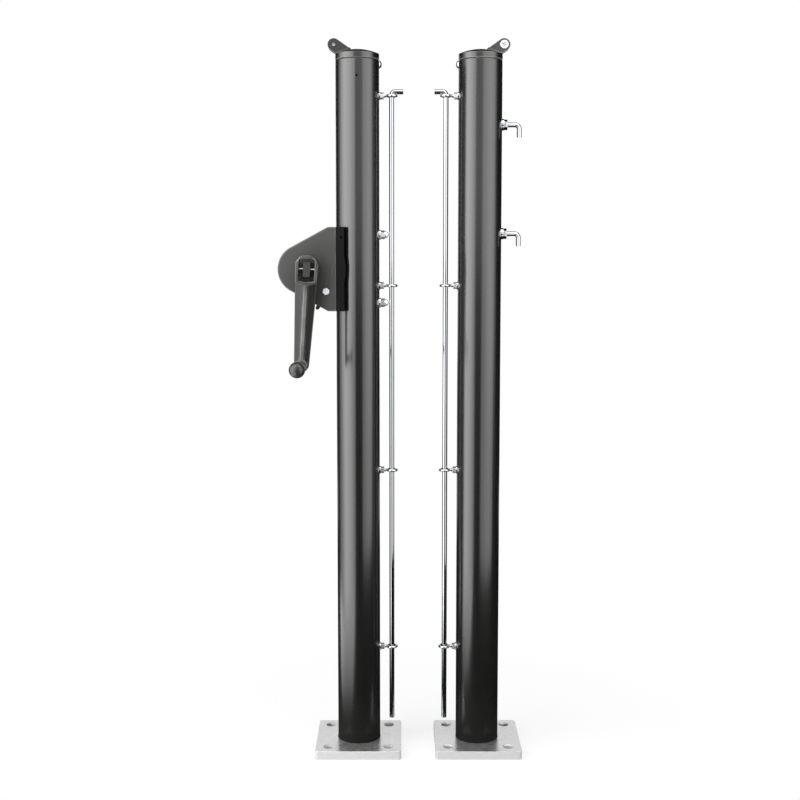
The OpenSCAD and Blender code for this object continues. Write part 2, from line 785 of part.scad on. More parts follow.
module winch_acorn_nuts() {
    dome_r = acorn_flats / 2 - acorn_dome_in;
    color(chrome) for (z = mount_bolt_heights)
        along_x(mount_washer_out, z) difference() {
            union() {
                hex(acorn_flats, acorn_hex_t);
                cylinder(r = dome_r, h = acorn_hex_t + acorn_collar, $fn = small_fn);
                translate([0, 0, acorn_hex_t + acorn_collar]) sphere(r = dome_r, $fn = small_fn);
            }
            translate([0, 0, -past])
                cylinder(d = mount_bolt_d + 2 * run_gap, h = acorn_hex_t + past + acorn_dome_in,
                         $fn = small_fn);
        }
}

// Winch works: shaft, drum and ratchet wheel turn together with the crank

module front_bushing() {
    color(zinc) translate([-crank_out, 0, crank_z]) rotate([90, 0, 0]) difference() {
        union() {
            translate([0, 0, bush_in]) cylinder(d = bush_d, h = half_w - bush_in + 1);
            translate([0, 0, half_w]) cylinder(d = bush_flange_d, h = bush_flange_t);
        }
        cylinder(d = shaft_d + 2 * run_gap, h = housing_w);
    }
}

module rear_bushing() {
    mirror([0, 1, 0]) front_bushing();
}

module drive_shaft() {
    color(steel) at_crank() difference() {
        union() {
            to_front(0, shaft_back, 0) cylinder(d = shaft_d, h = shaft_back + tang_base);
            intersection() {
                to_front(0, 0, 0) cylinder(d = shaft_d, h = tang_front);
                translate([-tang_t / 2, -tang_front, -tang_h / 2]) cube([tang_t, tang_front, tang_h]);
            }
        }
        translate([0, -pin_front, 0]) along_x(-shaft_d, 0)
            cylinder(d = pin_d + 2 * run_gap, h = 2 * shaft_d, $fn = small_fn);
        translate([0, drum_pin_y, 0]) along_x(-shaft_d, 0)
            cylinder(d = drum_pin_d + 2 * run_gap, h = 2 * shaft_d, $fn = small_fn);
        to_front(0, clip_y + clip_t + run_gap, 0) difference() {
            cylinder(d = shaft_d + 2, h = clip_t + 2 * run_gap);
            translate([0, 0, -past]) cylinder(d = clip_groove_d, h = clip_t + 2 * past);
        }
    }
}

module ratchet_wheel() {
    pitch = 360 / ratchet_teeth;
    color(steel) translate([-crank_out, 0, crank_z]) slab(-wheel_front, ratchet_t) difference() {
        polygon([for (k = [0 : ratchet_teeth - 1], tip = [0, 1])
            let (r = tip ? wheel_r : root_r, a = tooth_angle + (k + tip) * pitch) r * [cos(a), sin(a)]]);
        circle(d = shaft_d + 2 * run_gap);
        for (k = [0 : 2]) rotate(k * 120) translate([rivet_out, 0])
            circle(d = rivet_d + 2 * run_gap, $fn = small_fn);
    }
}

// flush rivets hold the wheel on the drum's front flange
module wheel_rivets() {
    color(steel) translate([-crank_out, 0, crank_z]) for (k = [0 : 2]) rotate([0, -k * 120, 0])
        to_front(rivet_out, -drum_front + drum_flange_t, 0)
            cylinder(d = rivet_d, h = drum_flange_t + ratchet_t, $fn = small_fn);
}

module cable_drum() {
    anchor = drum_core_d / 2 + anchor_hole_d / 2 + 2;
    color(steel) at_crank() difference() {
        union() {
            to_front(0, drum_back + drum_flange_t, 0) cylinder(d = drum_flange_d, h = drum_flange_t);
            to_front(0, drum_back + drum_flange_t / 2, 0)
                cylinder(d = drum_core_d, h = drum_len + drum_flange_t);
            to_front(0, -drum_front + drum_flange_t, 0) cylinder(d = drum_flange_d, h = drum_flange_t);
            to_front(0, bush_in - rest_gap, 0) cylinder(d = drum_hub_d, h = bush_in - rest_gap - drum_back);
        }
        to_front(0, housing_w / 2, 0) cylinder(d = shaft_d + 2 * run_gap, h = housing_w);
        translate([0, drum_pin_y, 0]) along_x(-drum_flange_d, 0)
            cylinder(d = drum_pin_d + 2 * run_gap, h = 2 * drum_flange_d, $fn = small_fn);
        to_front(0, drum_back + drum_flange_t + past, anchor)
            cylinder(d = anchor_hole_d, h = drum_flange_t + 2 * past, $fn = small_fn);
        rotate([0, -crank_rest, 0]) for (k = [0 : 2]) rotate([0, -k * 120, 0])
            to_front(rivet_out, -drum_front + drum_flange_t + past, 0)
                cylinder(d = rivet_d + 2 * run_gap, h = drum_flange_t + 2 * past, $fn = small_fn);
    }
}

module drum_pin() {
    color(chrome) at_crank() translate([0, drum_pin_y, 0]) along_x(-drum_hub_d / 2, 0)
        cylinder(d = drum_pin_d, h = drum_hub_d, $fn = small_fn);
}

module shaft_washer() {
    color(zinc) at_crank() to_front(0, clip_y - rest_gap, 0) difference() {
        cylinder(d = washer_d, h = washer_t);
        translate([0, 0, -past]) cylinder(d = shaft_d + 2 * run_gap, h = washer_t + 2 * past);
    }
}

// an open ring that snaps into the shaft's groove
module shaft_clip() {
    mouth = 0.6 * clip_groove_d;
    color(zinc) at_crank() to_front(0, clip_y + clip_t, 0) difference() {
        cylinder(d = clip_d, h = clip_t);
        translate([0, 0, -past]) cylinder(d = clip_groove_d + 2 * run_gap, h = clip_t + 2 * past);
        translate([-mouth / 2, -clip_d, -past]) cube([mouth, clip_d, clip_t + 2 * past]);
    }
}

// Pawl: drawn about the crank's axis, with s along its arm and n away from the wheel

function on_arm(s, n) = [
    n * cos(tooth_angle) - s * sin(tooth_angle),
    n * sin(tooth_angle) + s * cos(tooth_angle)
];

module pawl() {
    tail_dir = [cos(pawl_tail_angle), sin(pawl_tail_angle)];
    across = [-tail_dir[1], tail_dir[0]];
    tail_end = pivot + (pawl_tail - pawl_tail_r) * tail_dir;
    tail_root = pawl_boss_r - 1.5;
    color(dark) translate([-crank_out, 0, crank_z]) difference() {
        union() {
            slab(-wheel_front, ratchet_t) translate(pivot) circle(r = pawl_boss_r);
            slab(-wheel_front, ratchet_t) polygon([
                on_arm(rest_gap, root_r + rest_gap), on_arm(nose_len, wheel_r + rest_gap),
                on_arm(arm_reach, line_r - 1), on_arm(arm_reach, line_r + pawl_boss_r),
                on_arm(rest_gap, root_r + rest_gap + nose_t)
            ]);
            slab(-wheel_front, ratchet_t) polygon([
                pivot + tail_root * across, tail_end + pawl_tail_r * across,
                tail_end - pawl_tail_r * across, pivot - tail_root * across
            ]);
            slab(-wheel_front, ratchet_t) translate(tail_end) circle(r = pawl_tail_r, $fn = small_fn);
        }
        to_front(pivot[0], 0, pivot[1])
            cylinder(d = pawl_bolt_d + 2 * run_gap, h = housing_w, $fn = small_fn);
    }
}

module pawl_bolt() {
    back = half_w + bolt_head_t + bolt_end;
    color(chrome) {
        to_front(-pawl_out, back, winch_z - pawl_drop)
            cylinder(d = pawl_bolt_d, h = back + half_w + 1, $fn = small_fn);
        to_front(-pawl_out, -half_w, winch_z - pawl_drop) rotate([0, 0, bolt_head_turn]) difference() {
            intersection() {
                hex(bolt_head_flats, bolt_head_t);
                cylinder(d1 = 2 * bolt_head_flats, d2 = bolt_head_top_d, h = bolt_head_t, $fn = small_fn);
            }
            translate([0, 0, bolt_head_t - bolt_head_dish])
                cylinder(d = bolt_head_dish_d, h = bolt_head_dish + past, $fn = small_fn);
        }
    }
}

module pawl_bolt_nut() {
    color(chrome) to_front(-pawl_out, half_w + bolt_head_t, winch_z - pawl_drop) difference() {
        hex(bolt_head_flats, bolt_head_t);
        translate([0, 0, -past])
            cylinder(d = pawl_bolt_d + 2 * run_gap, h = bolt_head_t + 2 * past, $fn = small_fn);
    }
}

// a sleeve on the pivot bolt that holds the pawl against the housing's front boss
module pawl_spacer() {
    color(zinc) to_front(-pawl_out, cavity_half_w, winch_z - pawl_drop) difference() {
        cylinder(d = spacer_d, h = cavity_half_w + wheel_back - rest_gap, $fn = small_fn);
        translate([0, 0, -past])
            cylinder(d = pawl_bolt_d + 2 * run_gap, h = 2 * half_w, $fn = small_fn);
    }
}

// a coil round the spacer: one leg lies behind the pawl's arm, the other rests on the saddle's spigot
module pawl_spring() {
    turn = 3 * 360 + spring_end_angle - tooth_angle;
    steps = ceil(turn * spring_rings / 360);
    wire_r = spring_wire_d / 2;
    start_y = -wheel_back + wire_r + rest_gap;
    rise = spring_pitch * turn / 360;
    spigot_leg = (pawl_out - spigot_out - wire_r - rest_gap - spring_r * cos(spring_end_angle))
        / -sin(spring_end_angle);
    coil = [for (i = [0 : steps]) let (a = tooth_angle + turn * i / steps)
        [[spring_r * cos(a), start_y + rise * i / steps, spring_r * sin(a)], [cos(a), 0, sin(a)]]];
    first = [coil[0][0] + pawl_leg * [sin(tooth_angle), 0, -cos(tooth_angle)], coil[0][1]];
    last = [coil[steps][0] + spigot_leg * [-sin(spring_end_angle), 0, cos(spring_end_angle)], coil[steps][1]];
    path = concat([first], coil, [last]);
    count = len(path);
    points = [for (p = path, k = [0 : spring_sides - 1]) let (a = k * 360 / spring_sides)
        p[0] + wire_r * (cos(a) * p[1] + sin(a) * [0, 1, 0])];
    walls = [for (i = [0 : count - 2], k = [0 : spring_sides - 1])
        let (a = i * spring_sides + k, b = i * spring_sides + (k + 1) % spring_sides)
        each [[a, b, b + spring_sides], [a, b + spring_sides, a + spring_sides]]];
    start_cap = [for (k = [1 : spring_sides - 2]) [0, k + 1, k]];
    base = (count - 1) * spring_sides;
    end_cap = [for (k = [1 : spring_sides - 2]) [base, base + k, base + k + 1]];
    color(chrome) translate([-pawl_out, 0, winch_z - pawl_drop])
        polyhedron(points = points, faces = concat(walls, start_cap, end_cap), convexity = 6);
}

// Crank handle: its head is a fork round the shaft's tang, and it swings out on the cross pin

module handle_outline() {
    head = [0, head_up];
    end = [0, -arm_len];
    lean = asin((head_r - arm_end_r) / (head_up + arm_len));
    right = [cos(lean), -sin(lean)];
    left = [-cos(lean), -sin(lean)];
    translate(head) circle(r = head_r);
    translate(end) circle(r = arm_end_r);
    polygon([head + head_r * left, head + head_r * right, end + arm_end_r * right, end + arm_end_r * left]);
}

module head_outline() {
    intersection() {
        handle_outline();
        polygon([
            [-2 * head_r, 2 * head_r], [2 * head_r, 2 * head_r], [2 * head_r, -pocket_bottom],
            [0, -pocket_bottom - 6], [-2 * head_r, -pocket_bottom]
        ]);
    }
}

module pocket_outline() {
    corner = 4;
    half = pocket_w / 2;
    translate([-half, -pocket_bottom]) square([pocket_w, pocket_bottom + pocket_top - corner]);
    translate([-half + corner, 0]) square([pocket_w - 2 * corner, pocket_top]);
    for (x = [-half + corner, half - corner])
        translate([x, pocket_top - corner]) circle(r = corner, $fn = small_fn);
    polygon([[-half, -pocket_bottom], [0, -pocket_bottom - pocket_v], [half, -pocket_bottom]]);
}

module crank_handle() {
    rib_top = -pocket_bottom - 4;
    half_reach = head_r + 1;
    color(black) at_crank() difference() {
        union() {
            intersection() {
                slab(-arm_front, arm_t) handle_outline();
                translate([0, -arm_front, -arm_len - head_r]) linear_extrude(arm_len + 3 * head_r) polygon([
                    [0, 0], [half_reach, arm_fall], [half_reach, arm_t + past],
                    [-half_reach, arm_t + past], [-half_reach, arm_fall]
                ]);
            }
            slab(-head_front, head_t) head_outline();
            to_front(0, -arm_front + arm_fall, -arm_len) cylinder(r = boss_r, h = rib_h + arm_fall);
            translate([0, -arm_front + 1, -arm_len]) linear_extrude(arm_len + rib_top)
                polygon([
                    [-rib_w / 2 - 1, 0], [-rib_w / 2 - 1, -1], [-rib_w / 2 + 0.6, -rib_h - 1],
                    [rib_w / 2 - 0.6, -rib_h - 1], [rib_w / 2 + 1, -1], [rib_w / 2 + 1, 0]
                ]);
        }
        slab(-head_front - past, head_t + 2 * past) pocket_outline();
        difference() {
            translate([-2 * head_r, -pin_front, 0]) cube([4 * head_r, head_t, 2 * head_r]);
            translate([0, -pin_front, 0]) along_x(-3 * head_r, 0) cylinder(r = swing_r, h = 6 * head_r);
        }
        translate([0, -pin_front, 0]) along_x(-2 * head_r, 0)
            cylinder(d = pin_d + run_gap, h = 4 * head_r, $fn = small_fn);
        to_front(0, 0, -arm_len) cylinder(d = spindle_d + run_gap, h = 2 * arm_front, $fn = small_fn);
    }
}

module crank_pin() {
    pin_len = 2 * sqrt(head_r * head_r - head_up * head_up) + 0.4;
    color(chrome) at_crank() translate([0, -pin_front, 0]) along_x(-pin_len / 2, 0)
        cylinder(d = pin_d, h = pin_len, $fn = small_fn);
}

module grip_spindle() {
    color(chrome) at_crank() {
        to_front(0, -arm_back + spindle_rivet_t, -arm_len)
            cylinder(d = spindle_d, h = spindle_tip - arm_back + spindle_rivet_t, $fn = small_fn);
        to_front(0, -arm_back + spindle_rivet_t, -arm_len)
            cylinder(d = spindle_rivet_d, h = spindle_rivet_t, $fn = small_fn);
        to_front(0, -spindle_tip + collar_t, -arm_len) cylinder(d = collar_d, h = collar_t, $fn = small_fn);
    }
}

// the grip is moulded round the spindle's collar and turns on it
module crank_grip() {
    ball_r = ball_d / 2;
    stem_len = ball_front - grip_start;
    color(dark) at_crank() to_front(0, -grip_start, -arm_len) difference() {
        union() {
            cylinder(d1 = grip_stem_d, d2 = grip_neck_d, h = stem_len);
            translate([0, 0, stem_len]) sphere(r = ball_r);
        }
        translate([0, 0, -past])
            cylinder(d = spindle_d + 2 * run_gap, h = spindle_tip - grip_start + past + rest_gap,
                     $fn = small_fn);
        translate([0, 0, spindle_tip - grip_start - collar_t - rest_gap])
            cylinder(d = collar_d + 2 * rest_gap, h = collar_t + 2 * rest_gap, $fn = small_fn);
    }
}

module winch_post_plate() {
    plate();
}

module winch_post_cap() {
    cap();
}

module winch_post_cap_screw() {
    cap_screw();
}

module winch_post_sheave() {
    sheave();
}

module winch_post_axle() {
    hollow_axle();
}

module winch_post_eyes() {
    eyes();
}

module winch_post_eye_nuts() {
    eye_nuts();
}

module winch_post_eye_inserts() {
    eye_inserts();
}

module winch_post_lacing_rod() {
    lacing_rod();
}

module hook_post_plate() {
    at_hook_post() plate();
}

module hook_post_cap() {
    at_hook_post() cap();
}

module hook_post_cap_screw() {
    at_hook_post() cap_screw();
}

module hook_post_sheave() {
    at_hook_post() sheave();
}

module hook_post_axle() {
    at_hook_post() headed_axle();
}

module hook_post_axle_nut() {
    at_hook_post() axle_nut();
}

module hook_post_eyes() {
    at_hook_post() eyes();
}

module hook_post_eye_nuts() {
    at_hook_post() eye_nuts();
}

module hook_post_eye_inserts() {
    at_hook_post() eye_inserts();
}

module hook_post_lacing_rod() {
    at_hook_post() lacing_rod();
}

winch_post_tube();
winch_post_plate();
winch_post_cap();
winch_post_cap_screw();
winch_post_sheave();
winch_post_axle();
winch_post_eyes();
winch_post_eye_nuts();
winch_post_eye_inserts();
winch_post_lacing_rod();
hook_post_tube();
hook_post_plate();
hook_post_cap();
hook_post_cap_screw();
hook_post_sheave();
hook_post_axle();
hook_post_axle_nut();
hook_post_eyes();
hook_post_eye_nuts();
hook_post_eye_inserts();
hook_post_lacing_rod();
net_hooks();
net_hook_washers();
net_hook_nuts();
net_hook_inner_nuts();
winch_saddle();
winch_housing_front();
winch_housing_rear();
winch_mount_bolts();
winch_mount_washers();
winch_acorn_nuts();
saddle_screw();
drive_shaft();
front_bushing();
rear_bushing();
ratchet_wheel();
wheel_rivets();
cable_drum();
drum_pin();
shaft_washer();
shaft_clip();
pawl();
pawl_bolt();
pawl_bolt_nut();
pawl_spacer();
pawl_spring();
crank_handle();
crank_pin();
grip_spindle();
crank_grip();
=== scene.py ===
# A pair of net posts on floor plates: a winch post on the left and a hook post on the right.
# Lengths are in metres, +Z is up and the front faces -Y, in the frame that the solids are packed in.
import json
import math
import bmesh
import bpy
from mathutils import Matrix, Vector

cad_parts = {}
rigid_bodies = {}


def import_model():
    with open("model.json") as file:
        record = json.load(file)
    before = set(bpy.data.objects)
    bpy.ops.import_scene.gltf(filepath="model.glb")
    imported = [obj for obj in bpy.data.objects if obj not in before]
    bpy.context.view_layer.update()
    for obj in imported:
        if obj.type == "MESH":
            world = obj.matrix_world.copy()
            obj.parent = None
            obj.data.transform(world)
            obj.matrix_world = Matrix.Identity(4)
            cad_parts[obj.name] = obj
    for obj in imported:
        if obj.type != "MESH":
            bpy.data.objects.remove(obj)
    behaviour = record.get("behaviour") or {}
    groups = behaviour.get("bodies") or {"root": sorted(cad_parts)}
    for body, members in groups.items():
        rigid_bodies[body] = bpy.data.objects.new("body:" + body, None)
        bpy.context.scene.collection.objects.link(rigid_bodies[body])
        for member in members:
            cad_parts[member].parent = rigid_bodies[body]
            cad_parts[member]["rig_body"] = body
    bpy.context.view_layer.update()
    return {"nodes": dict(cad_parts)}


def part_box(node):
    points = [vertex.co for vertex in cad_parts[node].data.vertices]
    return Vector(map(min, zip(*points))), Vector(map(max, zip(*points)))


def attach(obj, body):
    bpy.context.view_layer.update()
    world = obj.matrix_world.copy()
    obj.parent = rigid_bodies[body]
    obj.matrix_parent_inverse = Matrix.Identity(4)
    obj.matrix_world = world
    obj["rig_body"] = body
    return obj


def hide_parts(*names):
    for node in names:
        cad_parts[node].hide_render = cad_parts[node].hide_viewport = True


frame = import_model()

MM = 0.001
WHITE = (1, 1, 1, 1)
# the plan's middle line, halfway between the two posts
MIDDLE_X = 0.08

# the camera's place, how far it tips down, and its lens
CAMERA_PLACE = (0.05553, -1.700, 0.675)
CAMERA_TILT_DEGREES = 5.708
LENS_MM = 57.859
SENSOR_MM = 36
LENS_SHIFT = -0.03

# the left soft box stands between these two points of the plan, and its light on the floor runs to the foot
LEFT_BOX_NEAR = (-0.29, -0.92)
LEFT_BOX_FAR = (-0.80, 0.40)
WINCH_POST_FOOT = (-0.08, -0.05)
BOX_TOP = 1.55

# dark cards: name, centre, the point that each faces, width and height
DARK_CARDS = [
    ("card_right_back", (1.3, 0.9, 1.0), (MIDDLE_X, 0, 0.6), 2.1, 2.6),
    ("card_left_back", (-1.3, 1.0, 1.0), (MIDDLE_X, 0, 0.6), 1.7, 2.6),
    ("card_high_back", (MIDDLE_X, 1.5, 2.3), (MIDDLE_X, 0, 0.7), 1.8, 1.8),
    ("card_top", (MIDDLE_X, 0.2, 2.6), (MIDDLE_X, 0.2, 0), 4.4, 3.6),
    ("card_front", (MIDDLE_X, -3.2, 0.3), (MIDDLE_X, 0, 0.3), 5.0, 0.6),
]

# how much darker the cloudy patches of a coat are, and the roughness of a scuffed one
CLOUD_DEPTH = 0.12
SCUFFED = 0.85
# a face counts as a plate's side below the first of these, and as its top or foot above the second
SIDE_TO_FLAT = (0.4, 0.95)

# edges sharper than this are rounded, in this many steps
HARD_EDGE = math.radians(28)
ROUND_SEGMENTS = 3
# points closer than this are one point: in plain pieces, and in pieces with soft rims
MERGE_PLAIN, MERGE_SOFT = 2e-6, 1e-4

# a thread's ridge: its height as a share of the pitch, and how much of that is sunk in the shank
RIDGE_SHARE, SUNK_SHARE = 0.32, 0.3
# which way a thread runs out of its nut, as the turn of a ridge that is wound up +Z
TO_RIGHT, TO_LEFT, TO_REAR = (0, math.pi / 2, 0), (0, -math.pi / 2, 0), (-math.pi / 2, 0, 0)


# ---------------------------------------------------------------- helpers
def placed(name, data):
    """A new object with this data, in the scene."""
    obj = bpy.data.objects.new(name, data)
    bpy.context.scene.collection.objects.link(obj)
    return obj


def linear(hex_colour):
    """An sRGB hex value as the linear colour that a shader takes."""
    parts = [int(hex_colour[i:i + 2], 16) / 255 for i in (1, 3, 5)]
    return [c / 12.92 if c <= 0.04045 else ((c + 0.055) / 1.055) ** 2.4 for c in parts] + [1]


def add(tree, kind, inputs=None, **settings):
    """A node of this kind in tree, with its settings, and its inputs set to values or linked to sockets."""
    node = tree.nodes.new(kind)
    for name, value in settings.items():
        setattr(node, name, value)
    for name, value in (inputs or {}).items():
        if isinstance(value, bpy.types.NodeSocket):
            tree.links.new(value, node.inputs[name])
        else:
            node.inputs[name].default_value = value
    return node


def remap(tree, value, low, high, to_low=0.0, to_high=1.0):
    """The value carried from the range low to high onto to_low to to_high, and held at its ends."""
    return add(tree, "ShaderNodeMapRange", {"Value": value, "From Min": low, "From Max": high,
               "To Min": to_low, "To Max": to_high}).outputs[0]


def math_of(tree, operation, *values):
    """The result of one mathematical operation on these values."""
    return add(tree, "ShaderNodeMath", dict(enumerate(values)), operation=operation).outputs[0]


def mixed(tree, amount, under, over, how="MIX"):
    """The colour over laid on the colour under by this amount."""
    return add(tree, "ShaderNodeMix", {0: amount, 6: under, 7: over}, data_type="RGBA",
               blend_type=how).outputs[2]


def axes(tree, vector):
    """The X, Y and Z of a vector, as named sockets."""
    return add(tree, "ShaderNodeSeparateXYZ", {0: vector}).outputs


def noise(tree, place, scale, detail):
    """Cloudy values from 0 to 1."""
    return add(tree, "ShaderNodeTexNoise", {"Vector": place, "Scale": scale, "Detail": detail}).outputs[0]


def distance(tree, place, point):
    """How far each place is from a point."""
    return add(tree, "ShaderNodeVectorMath", {0: place, 1: point}, operation="DISTANCE").outputs["Value"]


def bare_material(name):
    """A material with an empty tree, and the tree."""
    material = bpy.data.materials.new(name)
    material.use_nodes = True
    material.node_tree.nodes.clear()
    return material, material.node_tree


# ---------------------------------------------------------------- camera, stage and light
def camera():
    """The photograph's view: 1.7 m in front, a little below the caps, tipped down towards the plates."""
    data = bpy.data.cameras.new("camera")
    data.lens = LENS_MM
    data.sensor_width = SENSOR_MM
    data.shift_y = LENS_SHIFT
    data.clip_start = 0.05
    data.clip_end = 50
    obj = placed("camera", data)
    obj.location = CAMERA_PLACE
    obj.rotation_euler = (math.radians(90 - CAMERA_TILT_DEGREES), 0, 0)
    bpy.context.scene.camera = obj


def soft_box(name, near_end, far_end, low, high, radiance, steps):
    """An upright lamp between two points of the plan; steps give its level at places from 0 to 1 along it."""
    run = Vector(far_end) - Vector(near_end)
    data = bpy.data.lights.new(name, "AREA")
    data.shape = "RECTANGLE"
    data.size = run.length
    data.size_y = high - low
    data.energy = math.pi * data.size * data.size_y * radiance
    data.use_nodes = True
    tree = data.node_tree
    along = axes(tree, add(tree, "ShaderNodeNewGeometry").outputs["Parametric"])["X"]
    level = add(tree, "ShaderNodeValToRGB", {0: along})
    ramp = level.color_ramp
    ramp.interpolation = "EASE"
    while len(ramp.elements) < len(steps):
        ramp.elements.new(0.5)
    for stop, (place, amount) in zip(ramp.elements, steps):
        stop.position = place
        stop.color = (amount, amount, amount, 1)
    tree.links.new(level.outputs[0], tree.nodes["Emission"].inputs["Strength"])
    # the lamp's own X runs along the plan line, its Y is up, and it shines along its -Z
    side = Vector((run.x, run.y, 0)).normalized()
    up = Vector((0, 0, 1))
    back = side.cross(up)
    middle = (Vector(near_end) + Vector(far_end)) / 2
    if back.dot(Vector((middle.x, middle.y, 0))) < 0:
        side, back = -side, -back
    turn = Matrix((side, up, back)).transposed().to_4x4()
    obj = placed(name, data)
    obj.matrix_world = Matrix.Translation((middle.x, middle.y, (low + high) / 2)) @ turn
    obj.visible_camera = False


def top_lamp(name, centre, size, radiance):
    """A soft box overhead, facing down, that the gloss doesn't see."""
    data = bpy.data.lights.new(name, "AREA")
    data.size = size
    data.energy = math.pi * size * size * radiance
    obj = placed(name, data)
    obj.location = centre
    obj.visible_camera = False
    obj.visible_glossy = False


def upright(centre, aim, width, height):
    """The corners of a rectangle that stands at centre and faces aim."""
    turn = (Vector(centre) - Vector(aim)).to_track_quat("-Z", "Y")
    return [Vector(centre) + turn @ Vector((x * width / 2, y * height / 2, 0))
            for x, y in ((-1, -1), (1, -1), (1, 1), (-1, 1))]


def lying(height, *plan):
    """Points of the plan at this height."""
    return [(x, y, height) for x, y in plan]


def oblong(left, right, front, back):
    """The plan's four corners of a rectangle."""
    return (left, front), (right, front), (right, back), (left, back)


def sheet(name, corners, material):
    """One flat face, in the scene and on the stage."""
    mesh = bpy.data.meshes.new(name)
    mesh.from_pydata(corners, [], [range(len(corners))])
    mesh.materials.append(material)
    obj = placed(name, mesh)
    return obj


def card(name, corners, material):
    """A flat card that stands outside the view and is seen in the gloss alone."""
    obj = sheet(name, corners, material)
    obj.visible_camera = False
    obj.visible_diffuse = False
    obj.visible_shadow = False


def card_black():
    """Black velvet: it shines nowhere, so the gloss sees nothing in it."""
    material, tree = bare_material("black_velvet")
    cloth = add(tree, "ShaderNodeBsdfDiffuse", {"Color": linear("#202020")})
    add(tree, "ShaderNodeOutputMaterial", {"Surface": cloth.outputs[0]})
    return material


def card_glow(start, reach, radiance):
    """A lit card, dark at start, in plan, and growing to its full level at this reach."""
    material, tree = bare_material("lit_card")
    place = add(tree, "ShaderNodeTexCoord").outputs["Object"]
    level = remap(tree, distance(tree, place, (*start, 0)), 0.02, reach, to_high=radiance)
    glow = add(tree, "ShaderNodeEmission", {"Color": WHITE, "Strength": level})
    add(tree, "ShaderNodeOutputMaterial", {"Surface": glow.outputs[0]})
    return material


def white_floor():
    """Paint that shows near the plates, with their shadow, and fades into plain white further out."""
    material, tree = bare_material("white_floor")
    paint = add(tree, "ShaderNodeBsdfDiffuse", {"Color": linear("#f2f2f2")})
    glow = add(tree, "ShaderNodeEmission", {"Color": WHITE, "Strength": 1.0})
    place = add(tree, "ShaderNodeTexCoord").outputs["Object"]
    plain = remap(tree, distance(tree, place, (MIDDLE_X, 0, 0)), 0.12, 0.45, 0.75, 1.0)
    seen = math_of(tree, "MULTIPLY", add(tree, "ShaderNodeLightPath").outputs["Is Camera Ray"], plain)
    both = add(tree, "ShaderNodeMixShader", {0: seen, 1: paint.outputs[0], 2: glow.outputs[0]})
    add(tree, "ShaderNodeOutputMaterial", {"Surface": both.outputs[0]})
    return material


def surround():
    """A white world: full for the eye and the gloss, and a third as strong as a light."""
    world = bpy.data.worlds.new("studio")
    bpy.context.scene.world = world
    world.use_nodes = True
    tree = world.node_tree
    tree.nodes.clear()
    path = add(tree, "ShaderNodeLightPath").outputs
    seen = math_of(tree, "MAXIMUM", path["Is Camera Ray"], path["Is Glossy Ray"])
    seen = math_of(tree, "MAXIMUM", seen, path["Is Transmission Ray"])
    level = remap(tree, seen, 0.0, 1.0, 0.35, 1.0)
    glow = add(tree, "ShaderNodeBackground", {"Color": WHITE, "Strength": level})
    add(tree, "ShaderNodeOutputWorld", {"Surface": glow.outputs[0]})


def stage():
    """A white floor that keeps a soft contact shadow, a white surround, cards for the gloss, and the lamps."""
    sheet("floor", lying(0, *oblong(-6, 6, -6, 6)), white_floor())
    surround()
    dark = card_black()
    for name, centre, aim, width, height in DARK_CARDS:
        card(name, upright(centre, aim, width, height), dark)
    card("card_floor", lying(0.002, *oblong(-2.4, 2.6, -3.2, 1.2)), dark)
    # the left box's light lies on the floor too, in a wedge that runs to a point at the winch post's foot
    card("card_wedge", lying(0.003, WINCH_POST_FOOT, LEFT_BOX_FAR, LEFT_BOX_NEAR),
         card_glow(WINCH_POST_FOOT, reach=0.6, radiance=4.0))
    # a lit sheet overhead draws the fine light lines along upper rims: the housing, the crank's head, the caps
    card("card_sky", lying(2.2, *oblong(-1.2, 1.3, -1.5, 0.15)),
         card_glow((MIDDLE_X, 3.0), reach=0.1, radiance=3.2))
    soft_box("soft_box_left", LEFT_BOX_NEAR, LEFT_BOX_FAR, 0.01, BOX_TOP, radiance=4.4,
             steps=((0.0, 0.05), (0.22, 0.25), (0.5, 1.0), (1.0, 0.5)))
    soft_box("soft_box_right", (0.238, -0.52), (0.74, -0.12), 0.13, BOX_TOP, radiance=2.25,
             steps=((0.0, 0.7), (0.6, 1.0), (1.0, 0.6)))
    top_lamp("soft_box_top", (MIDDLE_X, -0.4, 2.3), size=1.2, radiance=1.2)


# ---------------------------------------------------------------- finishes
def sawn_sides_with_painted_shade(tree, rough, metallic, paint, sides):
    """Sawn sides, rougher and duller than the milled faces, with their colour painted darker as shade: the
    roughness, metal and colour with them.
    """
    normal = add(tree, "ShaderNodeNewGeometry").outputs["Normal"]
    flat = math_of(tree, "ABSOLUTE", axes(tree, normal)["Z"])
    rough = remap(tree, flat, *SIDE_TO_FLAT, sides["roughness"], rough)
    metal = remap(tree, flat, *SIDE_TO_FLAT, sides["metallic"], metallic)
    # painted shade: the sides' colour is made darker by how far they turn from up and down
    paint = mixed(tree, 1.0, paint, remap(tree, flat, *SIDE_TO_FLAT, sides["shade"], 1.0), "MULTIPLY")
    return rough, metal, paint


def painted_corner_shade(tree, paint, corners):
    """Painted shade: the colour is darkened in corners, recesses and near other parts, where shade falls."""
    hidden = add(tree, "ShaderNodeAmbientOcclusion", {"Distance": corners["reach_mm"] * MM}, samples=8,
                 only_local=corners["only_local"])
    # painted shade: darker where nearby surfaces close in
    corner_shade = remap(tree, hidden.outputs["AO"], 0.35, 0.9, corners["darkest"], 1.0)
    return mixed(tree, 1.0, paint, corner_shade, "MULTIPLY")


def worn_and_highlit_edges(tree, paint, patchy, edge, edge_mm):
    """Edges painted a paler colour, here and there more: a painted highlight along the rims of the coated
    housing, cap and crank, and wear along the plate's edges.
    """
    soft = add(tree, "ShaderNodeBevel", {"Radius": edge_mm * MM}, samples=4)
    normal = add(tree, "ShaderNodeNewGeometry").outputs["Normal"]
    same = add(tree, "ShaderNodeVectorMath", {0: soft.outputs[0], 1: normal}, operation="DOT_PRODUCT")
    near_edge = remap(tree, same.outputs["Value"], 0.97, 0.85)
    return mixed(tree, math_of(tree, "MULTIPLY", near_edge, patchy), paint, linear(edge))


